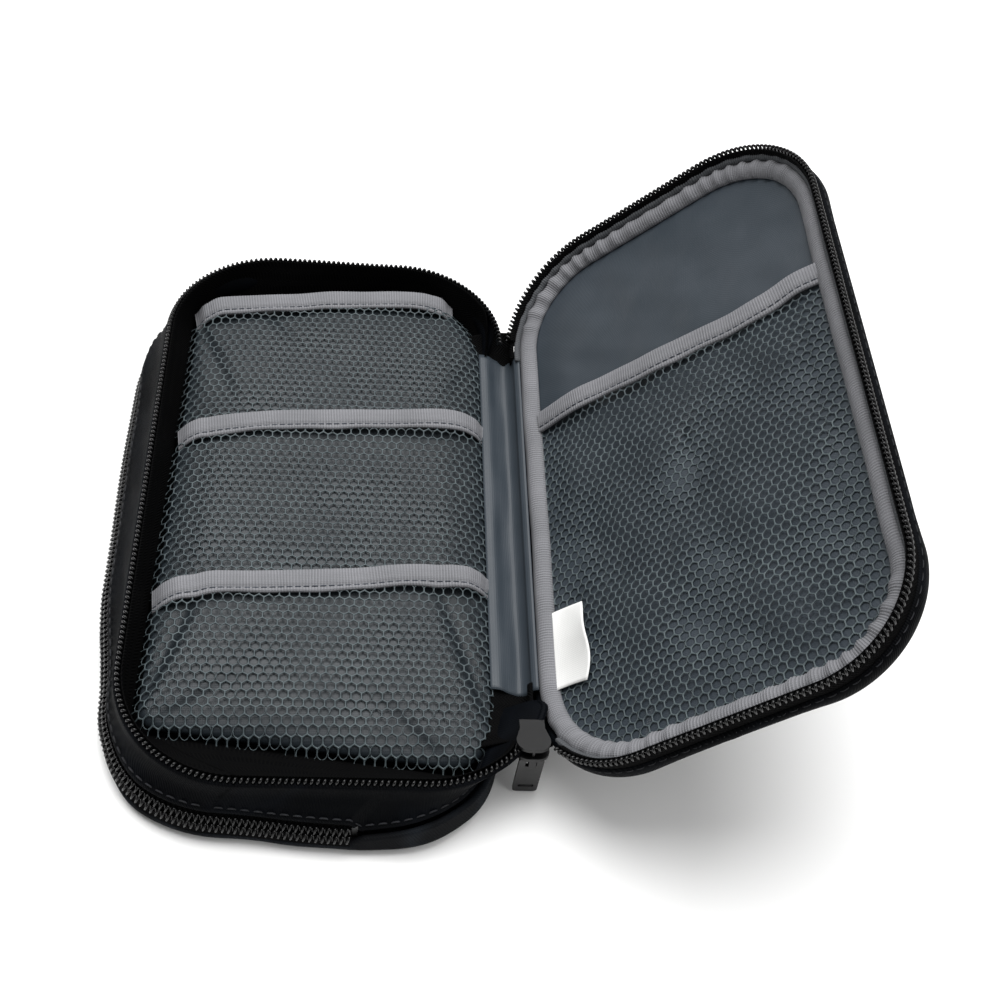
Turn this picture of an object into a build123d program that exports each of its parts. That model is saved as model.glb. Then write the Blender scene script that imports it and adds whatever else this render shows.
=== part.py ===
"""Travel organizer: a zip-round case of padded fabric, standing open with its lid leaning back.

Millimetres, +Z up. The origin is the centre of the base's rest face. +X runs from the base to
the lid, across the spine, and +Y runs along the case's length, from its front to its back.
The lid is built in its own frame (u across from the spine, v along the length, w from its outer
face to its inside) and then set at its open angle.
"""
import os
from math import atan2, cos, radians, sin

from build123d import *

# ---- driving dimensions ------------------------------------------------------------------
CASE_WIDTH = 120.0
CASE_LENGTH = 200.0
CORNER_RADIUS = 35.0
RIM_Z = 24.0                # the plane where the two halves of the zip meet
LID_DEPTH = 11.0            # from the lid's outer face to that plane
LID_REST_ANGLE = 45.0       # the open lid's lean, up from the floor

HINGE_X = 55.0              # the line about which the soft spine folds
HINGE_Z = 22.7
RIM_PULL_BACK = 9.0         # how far the open spine draws the base's rear right corner in
RIM_FLARE = 2.4             # how far its front right corner stands out
RIM_SLANT = 4.8             # and how much more its rear right corner is drawn in

BULGE_LEFT = 9.0            # how far the packed lower body stands out beyond the rim
BULGE_FRONT = 6.0
BULGE_BACK = 2.0
BODY_RIGHT = 47.0           # right side of the lower body, beside the spine
BULGE_RADIUS = 38.0
REST_INSET = 8.5            # the rest face is this far inside the bulge
BULGE_LOW_Z = 2.6           # the bulge is upright between these heights
BULGE_HIGH_Z = 10.3
GUSSET_TOP_Z = 22.0

FABRIC = 1.0                # outer fabric with its backing
LINING = 0.5
TAPE = 0.7                  # zip tape with its turned seam
GAP = 0.1                   # clearance between neighbouring layers

COIL_WIDTH = 2.8            # one side of a size 5 coil
COIL_HEIGHT = 1.5
COIL_CLEAR = 0.1            # each coil stays this far from the plane where they meet

BACK_ZIP_Z = 7.4            # centre line of the back pocket's zip
BACK_ZIP_HALF_GAP = 0.6
BACK_COIL_HEIGHT = 2.0
BACK_TAPE_GAP = 0.6         # half the gap between the two tapes
BACK_TAPE_LOW_HEIGHT = 4.2
BACK_TAPE_HIGH_HEIGHT = 2.6
BACK_ZIP_END_X = 5.7        # its coils end here on the front and on the back

DIVIDER_Z = 7.2             # underside of the divider above the back pocket
BOARD = 1.5
FOAM_TOP_Z = 16.2
FOAM_EDGE_Z = 14.0
FOAM_SLOPE = 12.0
TRAY_LEFT = -54.0           # foot of the slanting tape wall inside the base
TRAY_RIGHT = 45.6
TRAY_FRONT = -86.5
TRAY_BACK = 95.0
TRAY_RADIUS = 30.0
TRAY_FOOT_Z = 11.5
MESH = 0.8
BINDING = 1.0
BINDING_WIDTH = 9.0

# pocket mouths in the base: where each binding lies along the length, and its lean
POCKET_MOUTHS = {
    "upper": (83.5, 4.5),
    "middle": (28.0, 4.0),
    "lower": (-33.0, 4.0),
}
LID_POCKET_MOUTH = 31.0
LID_WALL_HEIGHT = 5.0
LID_WALL_INSET = 0.5
SEAM_OUTER = 2.8            # the lid's bound inner seam, as insets from its outline
SEAM_INNER = 8.6
SEAM_TOP = 6.6

SPINE_FRONT = -65.0         # ends of the lining strip over the spine
SPINE_BACK = 65.0
ZIP_END_FRONT = -89.5       # the main coils stop here, short of the slider
ZIP_END_BACK = 66.0
LID_ZIP_END_BACK = 70.0

SLIDER_X = 54.3
SLIDER_FRONT_Y = -90.5
SLIDER_Z = 22.6             # middle of the main slider's channel at its head
SLIDER_TILT = 15.0          # its head points up by this angle
SLIDER_LENGTH = 11.5
SLIDER_HEAD_WIDTH = 9.4
SLIDER_TAIL_WIDTH = 7.0
SLIDER_PLATE = 1.0
SLIDER_CHANNEL = 2.6
CROWN_WIDTH = 2.0           # the loop under the outer plate that carries the pull
CROWN_FRONT = 0.3
CROWN_LENGTH = 4.7
CROWN_HEIGHT = 2.6
CROWN_BAR = 0.8
PULL_LENGTH = 19.0
PULL_WIDTH = 7.0
PULL_THICKNESS = 1.0
PULL_RIM = 1.2              # the tab's top bar, which turns inside the crown
PULL_EYE_WIDTH = 3.2
PULL_EYE_LENGTH = 3.0
PULL_SLOT_WIDTH = 4.6
PULL_SLOT_LENGTH = 1.3
BACK_SLIDER_X = 5.4         # front of the back slider's head, beside its stop

# ---- derived dimensions ------------------------------------------------------------------
HALF_WIDTH = CASE_WIDTH / 2
HALF_LENGTH = CASE_LENGTH / 2
CLOSING_ANGLE = 180.0 - LID_REST_ANGLE


def turned(x, z, angle):
    """A point turned about the hinge line; a positive angle closes the lid."""
    dx = x - HINGE_X
    dz = z - HINGE_Z
    c = cos(radians(angle))
    s = sin(radians(angle))
    return HINGE_X + dx * c - dz * s, HINGE_Z + dx * s + dz * c


LID_EDGE_X, LID_EDGE_Z = turned(HALF_WIDTH, RIM_Z + LID_DEPTH, -CLOSING_ANGLE)
LID_PLACE = Location((LID_EDGE_X, 0, LID_EDGE_Z), (0, -LID_REST_ANGLE, 0))
BACK_CHAIN_Y = HALF_LENGTH + BULGE_BACK - 0.85
LID_FACE_W = FABRIC + BOARD + LINING + 3 * GAP      # the lid lining's inner face


# ---- outlines ----------------------------------------------------------------------------
def outline(z, left, right_front, right_back, front, back, radius):
    """A rounded four-sided outline at height z; its right side may slant."""
    corners = [(left, front), (right_front, front), (right_back, back), (left, back)]
    face = make_face(Polyline(*corners, close=True))
    face = fillet(face.vertices(), radius)
    return (Pos(0, 0, z) * face).face()


def rim(z, inset=0.0):
    """The base's zip outline, drawn in at the rear right by the open spine."""
    right_front = HALF_WIDTH + RIM_FLARE
    right_back = right_front - RIM_PULL_BACK - RIM_SLANT
    return outline(z, -HALF_WIDTH + inset, right_front - inset, right_back - inset,
                   -HALF_LENGTH + inset, HALF_LENGTH - inset, CORNER_RADIUS - inset)


def bulge(z, inset=0.0):
    """The packed lower body's widest outline."""
    return outline(z, -HALF_WIDTH - BULGE_LEFT + inset, BODY_RIGHT - inset, BODY_RIGHT - inset,
                   -HALF_LENGTH - BULGE_FRONT + inset, HALF_LENGTH + BULGE_BACK - inset,
                   BULGE_RADIUS - inset)


def tray(z, inset=0.0):
    """The outline where the slanting tape meets the padded divider."""
    return outline(z, TRAY_LEFT + inset, TRAY_RIGHT - inset, TRAY_RIGHT - inset,
                   TRAY_FRONT + inset, TRAY_BACK - inset, TRAY_RADIUS - inset)


def lid_outline(w, inset=0.0):
    """The lid's outline at depth w, in the lid's own frame."""
    return outline(w, inset, CASE_WIDTH - inset, CASE_WIDTH - inset, -HALF_LENGTH + inset,
                   HALF_LENGTH - inset, CORNER_RADIUS - inset)


def slab(lower, height):
    """An outline raised straight up."""
    return extrude(lower, amount=height, dir=(0, 0, 1))


def taper(*faces):
    """Straight walls through a stack of outlines."""
    return Solid.make_loft([face.outer_wire() for face in faces], ruled=True)


def block(x_low, x_high, y_low, y_high, z_low, z_high):
    """A box from its limits."""
    size = (x_high - x_low, y_high - y_low, z_high - z_low)
    centre = ((x_low + x_high) / 2, (y_low + y_high) / 2, (z_low + z_high) / 2)
    return Pos(*centre) * Box(*size)


def strip_wall(points, thickness, y_low, y_high):
    """A bent sheet along the length: points are its lower face in x and z, from left to right."""
    upper = []
    for index, (x, z) in enumerate(points):
        before = points[max(index - 1, 0)]
        after = points[min(index + 1, len(points) - 1)]
        angle = atan2(after[1] - before[1], after[0] - before[0])
        upper.append((x - thickness * sin(angle), z + thickness * cos(angle)))
    section = [(x, y_low, z) for x, z in points] + [(x, y_low, z) for x, z in reversed(upper)]
    return extrude(make_face(Polyline(*section, close=True)), amount=y_high - y_low, dir=(0, 1, 0))


# ---- base: back panel and back pocket ------------------------------------------------------
def rest_outline(z):
    """The flat face that the case rests on."""
    return bulge(z, REST_INSET)


def back_panel():
    outer = taper(rest_outline(0), bulge(BULGE_LOW_Z))
    share = (BULGE_LOW_Z - FABRIC) / BULGE_LOW_Z
    inner = taper(rest_outline(FABRIC), bulge(BULGE_LOW_Z + GAP, REST_INSET * (1 - share)))
    return outer - inner


def back_pocket_lining():
    return slab(bulge(FABRIC, REST_INSET + GAP), LINING)


def back_zip_tape(z_low, height):
    return slab(bulge(z_low, 1.3), height) - slab(bulge(z_low, 1.3 + TAPE), height)


def back_zip_coil(z_low):
    ring = slab(bulge(z_low, -0.3), BACK_COIL_HEIGHT) - slab(bulge(z_low, 1.2), BACK_COIL_HEIGHT)
    return ring & block(-100, BACK_ZIP_END_X, -150, 150, 0, 30)


def back_zip_stops():
    """A small stop over the chain's front end, and one over its rear end."""
    front_y = -HALF_LENGTH - BULGE_FRONT
    back_y = HALF_LENGTH + BULGE_BACK
    front = block(BACK_ZIP_END_X + 0.2, BACK_ZIP_END_X + 1.8, front_y - 0.4, front_y + 1.2,
                  BACK_ZIP_Z - 2.6, BACK_ZIP_Z + 2.6)
    back = block(BACK_ZIP_END_X + 0.2, BACK_ZIP_END_X + 1.8, back_y - 1.2, back_y + 0.4,
                 BACK_ZIP_Z - 2.6, BACK_ZIP_Z + 2.6)
    return Compound(children=[front.solid(), back.solid()])


# ---- base: side gusset and main zip --------------------------------------------------------
def spine_clearance():
    """The space that the open spine, the slider and the turning lid need beside the base."""
    return block(BODY_RIGHT + 1.6, 90, ZIP_END_FRONT, ZIP_END_BACK + 14, 0, 40)


def low_side():
    """The rim dips along the spine, where the lining strip leaves the base."""
    return block(TRAY_RIGHT - 14, 90, SPINE_FRONT - 8, ZIP_END_BACK, TRAY_FOOT_Z, 40)


def side_gusset():
    outer = taper(bulge(BULGE_HIGH_Z), rim(GUSSET_TOP_Z, -1.2))
    inner = taper(bulge(BULGE_HIGH_Z, FABRIC), rim(GUSSET_TOP_Z, FABRIC - 1.2))
    return outer - inner - spine_clearance() - low_side()


def main_zip_tape_base():
    top_z = RIM_Z - COIL_CLEAR - COIL_HEIGHT - GAP
    outer = taper(tray(TRAY_FOOT_Z), rim(top_z, 1.0))
    inner = taper(tray(TRAY_FOOT_Z, TAPE), rim(top_z, 1.0 + TAPE))
    return outer - inner - spine_clearance() - low_side()


def main_zip_coil_base():
    low_z = RIM_Z - COIL_CLEAR - COIL_HEIGHT
    ring = slab(rim(low_z), COIL_HEIGHT) - slab(rim(low_z, COIL_WIDTH), COIL_HEIGHT)
    return ring - block(TRAY_RIGHT - 14, 90, ZIP_END_FRONT, ZIP_END_BACK, 0, 40)


# ---- base: padded divider with its mesh pockets --------------------------------------------
def divider_back_lining():
    return slab(bulge(DIVIDER_Z, 3.6), LINING)


def divider_board():
    return slab(bulge(DIVIDER_Z + LINING, 6.0), BOARD)


def pad(grow):
    """The divider's padded face, grown outward by the layers that lie over the foam."""
    foot_z = DIVIDER_Z + LINING + BOARD
    edge = 2.3 - grow
    return taper(tray(foot_z, edge), tray(FOAM_EDGE_Z + grow, edge + 1.5),
                 tray(FOAM_TOP_Z + grow, edge + FOAM_SLOPE))


def layer(inner_grow, outer_grow):
    return pad(outer_grow) - pad(inner_grow)


def mouth_slab(name, y_low, y_high, z_low):
    """A slab across the tray that leans with a pocket's mouth, from y_low to y_high of its centre."""
    y, lean = POCKET_MOUTHS[name]
    centre_x = (TRAY_LEFT + TRAY_RIGHT) / 2
    shape = block(-90, 90, y_low, y_high, z_low, 40)
    return Pos(centre_x, y, 0) * Rot(0, 0, lean) * shape


def divider_foam():
    return pad(0)


def divider_lining():
    return layer(0, LINING)


def pocket_mesh(name, below):
    """One mesh pocket: from just under its mouth down to the next mouth."""
    half = BINDING_WIDTH / 2
    mesh = layer(LINING, LINING + MESH) & mouth_slab(name, -200, half, 0)
    if below:
        mesh = mesh - mouth_slab(below, -200, half + GAP, 0)
    return mesh


def pocket_binding(name):
    half = BINDING_WIDTH / 2
    band = layer(LINING + MESH, LINING + MESH + BINDING)
    return band & mouth_slab(name, -half, half, TRAY_FOOT_Z + 1.5)


# ---- spine ---------------------------------------------------------------------------------
def lid_point(u, w):
    """The x and z of a point of the lid's cross-section, as it stands open."""
    c = cos(radians(LID_REST_ANGLE))
    s = sin(radians(LID_REST_ANGLE))
    return LID_EDGE_X + u * c - w * s, LID_EDGE_Z + u * s + w * c


def spine_outer():
    lid_x, lid_z = lid_point(-0.4, 1.2)
    points = [(BODY_RIGHT + 0.4, 3.2), (50.5, 4.6), (54.5, 6.6), (57.4, 8.6), (lid_x, lid_z - 1.6)]
    return strip_wall(points, FABRIC, SPINE_FRONT, SPINE_BACK)


def spine_lining():
    """The hemmed strip over the fold: down from the divider's edge, then up over the lid's wall."""
    end_x, end_z = lid_point(2.0, 6.0)
    points = [(TRAY_RIGHT + 0.5, 13.6), (49.6, 11.6), (53.4, 10.9), (55.0, 12.4), (55.7, 14.2),
              (end_x, end_z)]
    return strip_wall(points, LINING, SPINE_FRONT, SPINE_BACK)


def zip_end_front():
    """The short closed chain and its tape behind the slider, sewn down before the spine."""
    tail = SLIDER_FRONT_Y + SLIDER_LENGTH
    return block(SLIDER_X - 2.8, SLIDER_X + 2.8, tail + 0.6, SPINE_FRONT - 0.4, 17.2, 18.6)


def zip_end_back():
    """The sewn ends of the two tapes behind the spine."""
    return block(50.8, 54.0, SPINE_BACK + 0.4, SPINE_BACK + 8.0, 15.4, 16.8)


# ---- lid -----------------------------------------------------------------------------------
def lid_panel():
    edge = LID_WALL_INSET
    outer = taper(lid_outline(0, 2.4), lid_outline(2.6, edge), lid_outline(LID_WALL_HEIGHT, edge))
    inner = taper(lid_outline(FABRIC, 2.4 + FABRIC), lid_outline(2.9, edge + FABRIC),
                  lid_outline(LID_WALL_HEIGHT + GAP, edge + FABRIC))
    return outer - inner


def lid_board():
    return slab(lid_outline(FABRIC + GAP, 4.0), BOARD)


def lid_lining():
    return slab(lid_outline(FABRIC + BOARD + 2 * GAP, 2.0), LINING)


def lid_pocket_mesh():
    return slab(lid_outline(LID_FACE_W, SEAM_INNER + GAP), MESH) & block(
        0, CASE_WIDTH, -HALF_LENGTH, LID_POCKET_MOUTH + BINDING_WIDTH / 2 - 0.5, 0, 40)


def lid_pocket_binding():
    w_low = LID_FACE_W + MESH + GAP
    side = SEAM_INNER + 0.2
    half = BINDING_WIDTH / 2
    return block(side, CASE_WIDTH - side, LID_POCKET_MOUTH - half, LID_POCKET_MOUTH + half,
                 w_low, w_low + BINDING)


def lid_seam_binding():
    roll = 1.4
    outer = taper(lid_outline(LID_FACE_W, SEAM_OUTER), lid_outline(SEAM_TOP - roll, SEAM_OUTER),
                  lid_outline(SEAM_TOP, SEAM_OUTER + roll))
    inner = taper(lid_outline(LID_FACE_W, SEAM_INNER), lid_outline(SEAM_TOP - roll, SEAM_INNER),
                  lid_outline(SEAM_TOP, SEAM_INNER - roll))
    return outer - inner


def lid_spine_gap():
    """The lid's spine side has no zip: it is open from the slider to the rear zip end."""
    return block(-5, 14, ZIP_END_FRONT, LID_ZIP_END_BACK, 0, 40)


def main_zip_tape_lid():
    low = LID_WALL_HEIGHT + 2 * GAP
    height = LID_DEPTH - COIL_CLEAR - COIL_HEIGHT - GAP - low
    ring = slab(lid_outline(low, 1.2), height) - slab(lid_outline(low, 1.2 + TAPE), height)
    return ring - lid_spine_gap()


def main_zip_coil_lid():
    low = LID_DEPTH - COIL_CLEAR - COIL_HEIGHT
    ring = slab(lid_outline(low), COIL_HEIGHT) - slab(lid_outline(low, COIL_WIDTH), COIL_HEIGHT)
    return ring - lid_spine_gap()


def care_label():
    """The folded label that is caught in the bound seam."""
    w_low = LID_FACE_W + MESH + GAP
    return block(SEAM_INNER + 0.6, 22.0, -68.0, -42.0, w_low, w_low + 0.6)


# ---- sliders and pulls ---------------------------------------------------------------------
def slider_plate(z_low):
    """A slider's plate: round at the head, at the origin, and narrow at the tail, along +Y."""
    head = SLIDER_HEAD_WIDTH / 2
    tail = SLIDER_TAIL_WIDTH / 2
    points = [(-head, 0), (head, 0), (head, 4.4), (tail, 8.4), (tail, SLIDER_LENGTH),
              (-tail, SLIDER_LENGTH), (-tail, 8.4), (-head, 4.4)]
    face = make_face(Polyline(*points, close=True))
    head_corners = face.vertices().sort_by(Axis.Y)[:2]
    face = fillet(head_corners, 3.6)
    return Pos(0, 0, z_low) * extrude(face, amount=SLIDER_PLATE, dir=(0, 0, 1))


def slider_body():
    """Two plates joined by the post between the coils, with the pull's crown under the outer one."""
    half = SLIDER_CHANNEL / 2
    plate_low = -half - SLIDER_PLATE
    inner = slider_plate(half)
    outer = slider_plate(plate_low)
    post = block(-0.35, 0.35, 0.8, 3.4, -half, half)
    crown_low = plate_low - CROWN_HEIGHT
    side = CROWN_WIDTH / 2
    crown = block(-side, side, CROWN_FRONT, CROWN_FRONT + CROWN_LENGTH, crown_low, plate_low)
    window = block(-side, side, CROWN_FRONT + CROWN_BAR, CROWN_FRONT + CROWN_LENGTH - CROWN_BAR,
                   crown_low + CROWN_BAR, plate_low)
    return inner + outer + post + (crown - window)


def pull_tab():
    """The flat tab: its top bar lies on the origin, inside a crown, and the tab hangs to -Z."""
    top = PULL_RIM / 2
    plate = Pos(0, 0, top - PULL_LENGTH / 2) * Rot(90, 0, 0) * RectangleRounded(
        PULL_WIDTH, PULL_LENGTH, 1.2)
    eye = Pos(0, 0, -top - PULL_EYE_LENGTH / 2) * Rot(90, 0, 0) * RectangleRounded(
        PULL_EYE_WIDTH, PULL_EYE_LENGTH, 0.5)
    slot = Pos(0, 0, top - PULL_LENGTH + 3.4) * Rot(90, 0, 0) * RectangleRounded(
        PULL_SLOT_WIDTH, PULL_SLOT_LENGTH, 0.5)
    return extrude(plate - eye - slot, amount=PULL_THICKNESS / 2, both=True)


# a pull's turning line, in its slider's own frame
PIN = Pos(0, CROWN_FRONT + 1.7, -SLIDER_CHANNEL / 2 - SLIDER_PLATE - (CROWN_HEIGHT - CROWN_BAR) / 2)

MAIN_SLIDER_PLACE = Pos(SLIDER_X, SLIDER_FRONT_Y, SLIDER_Z) * Rot(-SLIDER_TILT, 0, 0)
MAIN_PULL_PLACE = MAIN_SLIDER_PLACE * PIN * Rot(SLIDER_TILT, 0, 0)
# the back zip's slider rides on the rear wall: its head leads to +X and its crown faces +Y,
# and its pull lies along the wall
BACK_SLIDER_PLACE = Pos(BACK_SLIDER_X, BACK_CHAIN_Y, BACK_ZIP_Z) * Rot(90, 0, 0) * Rot(0, 0, 90)
BACK_PULL_PLACE = BACK_SLIDER_PLACE * PIN * Rot(-90, 0, 0)


# ---- nodes ---------------------------------------------------------------------------------
def pieces():
    """Every node's name with its solid, in place."""
    nodes = {
        "back_panel": back_panel(),
        "back_pocket_lining": back_pocket_lining(),
        "back_zip_tape_lower": back_zip_tape(BACK_ZIP_Z - BACK_TAPE_GAP - BACK_TAPE_LOW_HEIGHT,
                                             BACK_TAPE_LOW_HEIGHT),
        "back_zip_tape_upper": back_zip_tape(BACK_ZIP_Z + BACK_TAPE_GAP, BACK_TAPE_HIGH_HEIGHT),
        "back_zip_coil_lower": back_zip_coil(BACK_ZIP_Z - BACK_ZIP_HALF_GAP - BACK_COIL_HEIGHT),
        "back_zip_coil_upper": back_zip_coil(BACK_ZIP_Z + BACK_ZIP_HALF_GAP),
        "back_zip_stops": back_zip_stops(),
        "side_gusset": side_gusset(),
        "divider_back_lining": divider_back_lining(),
        "divider_board": divider_board(),
        "divider_foam": divider_foam(),
        "divider_lining": divider_lining(),
        "pocket_mesh_upper": pocket_mesh("upper", "middle"),
        "pocket_mesh_middle": pocket_mesh("middle", "lower"),
        "pocket_mesh_lower": pocket_mesh("lower", None),
        "main_zip_tape_base": main_zip_tape_base(),
        "main_zip_coil_base": main_zip_coil_base(),
        "spine_outer": spine_outer(),
        "spine_lining": spine_lining(),
        "zip_end_front": zip_end_front(),
        "zip_end_back": zip_end_back(),
        "main_slider": MAIN_SLIDER_PLACE * slider_body(),
        "main_pull_tab": MAIN_PULL_PLACE * pull_tab(),
        "back_slider": BACK_SLIDER_PLACE * slider_body(),
        "back_pull_tab": BACK_PULL_PLACE * pull_tab(),
    }
    for name in POCKET_MOUTHS:
        nodes["pocket_binding_" + name] = pocket_binding(name)
    lid_shapes = {
        "lid_panel": lid_panel(),
        "lid_board": lid_board(),
        "lid_lining": lid_lining(),
        "lid_pocket_mesh": lid_pocket_mesh(),
        "lid_pocket_binding": lid_pocket_binding(),
        "lid_seam_binding": lid_seam_binding(),
        "main_zip_tape_lid": main_zip_tape_lid(),
        "main_zip_coil_lid": main_zip_coil_lid(),
        "care_label": care_label(),
    }
    for name, shape in lid_shapes.items():
        nodes[name] = LID_PLACE * shape
    return nodes


def main():
    os.makedirs("parts", exist_ok=True)
    for name, shape in pieces().items():
        export_step(shape, os.path.join("parts", name + ".step"))


main()
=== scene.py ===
"""The open zip-round travel organizer: fabric, nets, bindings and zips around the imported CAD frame.

Shapes are worked out in millimetres in the row frame and become metres when a mesh is made.
Points inside the lid are in its own frame: u across from the spine, v along the length and
w from the outer face to the inside.
"""
import math

import bpy
import numpy as np
from mathutils import Matrix, Vector
from mathutils.bvhtree import BVHTree


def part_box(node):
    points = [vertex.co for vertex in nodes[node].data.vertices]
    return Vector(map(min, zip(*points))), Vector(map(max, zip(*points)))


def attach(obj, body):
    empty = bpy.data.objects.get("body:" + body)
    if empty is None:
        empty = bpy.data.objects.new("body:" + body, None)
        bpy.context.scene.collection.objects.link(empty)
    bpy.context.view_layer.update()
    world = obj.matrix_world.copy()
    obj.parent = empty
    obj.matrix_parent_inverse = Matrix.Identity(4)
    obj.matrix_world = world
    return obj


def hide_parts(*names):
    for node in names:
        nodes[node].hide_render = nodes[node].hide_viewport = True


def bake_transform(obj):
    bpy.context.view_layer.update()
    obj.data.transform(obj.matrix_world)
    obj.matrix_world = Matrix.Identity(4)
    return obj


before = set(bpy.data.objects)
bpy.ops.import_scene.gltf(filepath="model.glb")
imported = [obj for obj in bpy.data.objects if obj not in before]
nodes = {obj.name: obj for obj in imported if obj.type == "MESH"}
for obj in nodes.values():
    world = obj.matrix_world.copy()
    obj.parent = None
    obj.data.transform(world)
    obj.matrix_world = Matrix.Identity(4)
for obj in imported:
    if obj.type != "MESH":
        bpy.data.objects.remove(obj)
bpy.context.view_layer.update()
MM = 0.001
TAU = 2 * math.pi


def cad_box(node):
    """A CAD node's lowest and highest corners, in millimetres."""
    low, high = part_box(node)
    return np.array(low) / MM, np.array(high) / MM


# ---- places that the frame gives ---------------------------------------------------------
coil_low, coil_high = cad_box("main_zip_coil_base")
side_low, side_high = cad_box("side_gusset")
back_coil_low, _ = cad_box("back_zip_coil_lower")
_, back_coil_high = cad_box("back_zip_coil_upper")
stop_low, _ = cad_box("back_zip_stops")
spine_low, spine_high = cad_box("spine_lining")

RIM_TOP = coil_high[2] + 0.1    # the plane where the two halves of the main zip meet
BACK_ZIP_Z = (back_coil_low[2] + back_coil_high[2]) / 2
CHAIN_Z = BACK_ZIP_Z + 0.1
CHAIN_END = stop_low[0]         # the back zip's chain ends at this x on the front and on the back

# ---- the base's outlines: corner radii run front left, front right, back right, back left
RIM_SLANT = (62.4, 48.6)        # the rim's right side at its front and at its back
RIM_RADIUS = 35.0
BULGE_RIGHT = 47.0              # the lower body's right side, beside the spine
BULGE_RADII = (38.0, 31.0, 33.0, 38.0)
REST_INSET = 8.5                # the flat face under the case is this far inside the body
RIM_CLOTH_Z = 21.5              # the gusset is sewn to the zip tape at this height
TRAY_RIGHT = 45.6
TRAY_LEFT = -54.0
TRAY_CORNERS = ((-55.2, -79.0), (45.6, -91.5), (45.6, 101.0), (-52.8, 90.0))   # the pad's outline
TRAY_RADII = (7.0, 13.0, 34.0, 16.0)
PAD_ROUND = (38.0, 38.0, 40.0, 38.0)    # corner radii of the pad's inner rings of points
PAD_TOP = 16.2
TAPE_FOOT_Z = 9.8               # the slanting tape ends here, behind the pad's edge
TAPE_LOW_Z = 10.6               # and its top comes down to here beside the spine
TAPE_TOP_Z = 22.6

# ---- the lid, in its own frame -----------------------------------------------------------
LID_ANGLE = math.radians(45.0)
LID_EDGE = (60.162, 10.467)     # where the lid's outer face meets its spine edge, in x and z
LID_DEPTH = 11.0
LID_WIDTH = 120.0
LID_HALF_LENGTH = 100.0
LID_CORNERS = ((0.0, -100.8), (119.2, -100.8), (118.6, 100.0), (0.0, 100.0))
LID_RADII = (35.0, 32.0, 38.0, 35.0)
LID_FACE_SEAM = 4.0             # the lining is sewn this far inside the lid's outline

# ---- openings along the spine: y at their front and at their back ------------------------
OPEN_BASE = (-88.5, 64.5)       # no coil on the rim
OPEN_LID = (-89.5, 70.0)        # no coil and no tape on the lid
OPEN_BAND = (-86.0, 62.0)       # no second band inside the lid
OPEN_TOPSTITCH = (-96.0, 96.0)  # no topstitch on the lid

# ---- make of the zips, ribbons and nets --------------------------------------------------
COIL_PITCH = 1.67               # a size 5 coil's teeth
COIL_STEP = 0.8                 # spacing of the points that a coil follows
COIL_INSET = 0.75               # each main coil's middle is this far inside its outline
COIL_TALL = 2.9                 # across each main coil
BACK_COIL_TALL = 2.8
COIL_DEEP = 1.6
COIL_WIRE = 0.43                # radius of the wire that is wound into the coil
BACK_WIRE = 0.36
CHAIN_LEAN = 0.5                # the closed back chain leans in over the lower panel
RIB_PITCH = 0.9                 # ribs of the grosgrain ribbon
POCKETS = ("upper", "middle", "lower")
HALF_BAND = 3.7                 # half the width of a pocket's binding
BAND_STITCH = (2.2, 0.25, 0.16)  # its stitches' length, gap and radius
NET_PITCH = 2.9                 # from hole to hole
STRAND = 0.46                   # a strand's width
STRAND_HALF_DEPTH = 0.24


# ---- outlines ----------------------------------------------------------------------------
def smooth(low, high, value):
    """0 below low, 1 above high, and a smooth rise between."""
    t = np.clip((np.asarray(value, float) - low) / (high - low), 0, 1)
    return t * t * (3 - 2 * t)


def ripple(a, b, seed, wave=20.0):
    """Soft, repeatable unevenness from -1 to 1 over a surface."""
    total = 0.0
    for k in range(5):
        turn = seed * 1.7 + k * 2.39
        length = wave * (1.0, 0.71, 1.37, 0.53, 0.83)[k]
        total = total + np.sin((a * math.cos(turn) + b * math.sin(turn)) * TAU / length + seed * (k + 1))
    return total / 3.2


def loop(corners, radii, side=90, arc=50):
    """A closed outline through four rounded corners, anticlockwise from its front left corner's end."""
    corners = np.array(corners, float)
    bends = []
    for i in range(4):
        here = corners[i]
        a = corners[i - 1] - here
        b = corners[(i + 1) % 4] - here
        a /= np.linalg.norm(a)
        b /= np.linalg.norm(b)
        half = math.acos(float(a @ b)) / 2
        middle = (a + b) / np.linalg.norm(a + b)
        centre = here + middle * radii[i] / math.sin(half)
        reach = radii[i] / math.tan(half)
        bends.append((centre, here + a * reach, here + b * reach))
    points = []
    for i in range(4):
        start = bends[i][2]
        centre, enter, leave = bends[(i + 1) % 4]
        t = np.arange(side)[:, None] / side
        points.append(start + (enter - start) * t)
        first = math.atan2(*(enter - centre)[::-1])
        turn = (math.atan2(*(leave - centre)[::-1]) - first) % TAU
        angle = first + turn * np.arange(arc) / arc
        radius = radii[(i + 1) % 4]
        points.append(centre + radius * np.stack([np.cos(angle), np.sin(angle)], 1))
    return np.concatenate(points)


def unit(vectors):
    """Each row scaled to length 1."""
    return vectors / np.linalg.norm(vectors, axis=1)[:, None]


def distances(points):
    """How far each point lies along its line."""
    return np.concatenate([[0], np.cumsum(np.linalg.norm(np.diff(points, axis=0), axis=1))])


def between_points(at, length, points):
    """The points' values at some distances along their line."""
    return np.stack([np.interp(at, length, points[:, k]) for k in range(points.shape[1])], 1)


def mixed(first, second, share):
    """Part of the way from one outline to another, point by point."""
    return first * (1 - share)[:, None] + second * share[:, None]


def box_corners(left, right_front, right_back, front, back):
    """Four corners, anticlockwise from the front left; the right side may slant."""
    return (left, front), (right_front, front), (right_back, back), (left, back)


def left_of(ahead):
    """Directions a quarter turn to the left."""
    return np.stack([-ahead[:, 1], ahead[:, 0]], 1)


def inward(points):
    """Unit normals to the left of an anticlockwise closed outline."""
    return left_of(unit(np.roll(points, -1, 0) - np.roll(points, 1, 0)))


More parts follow.
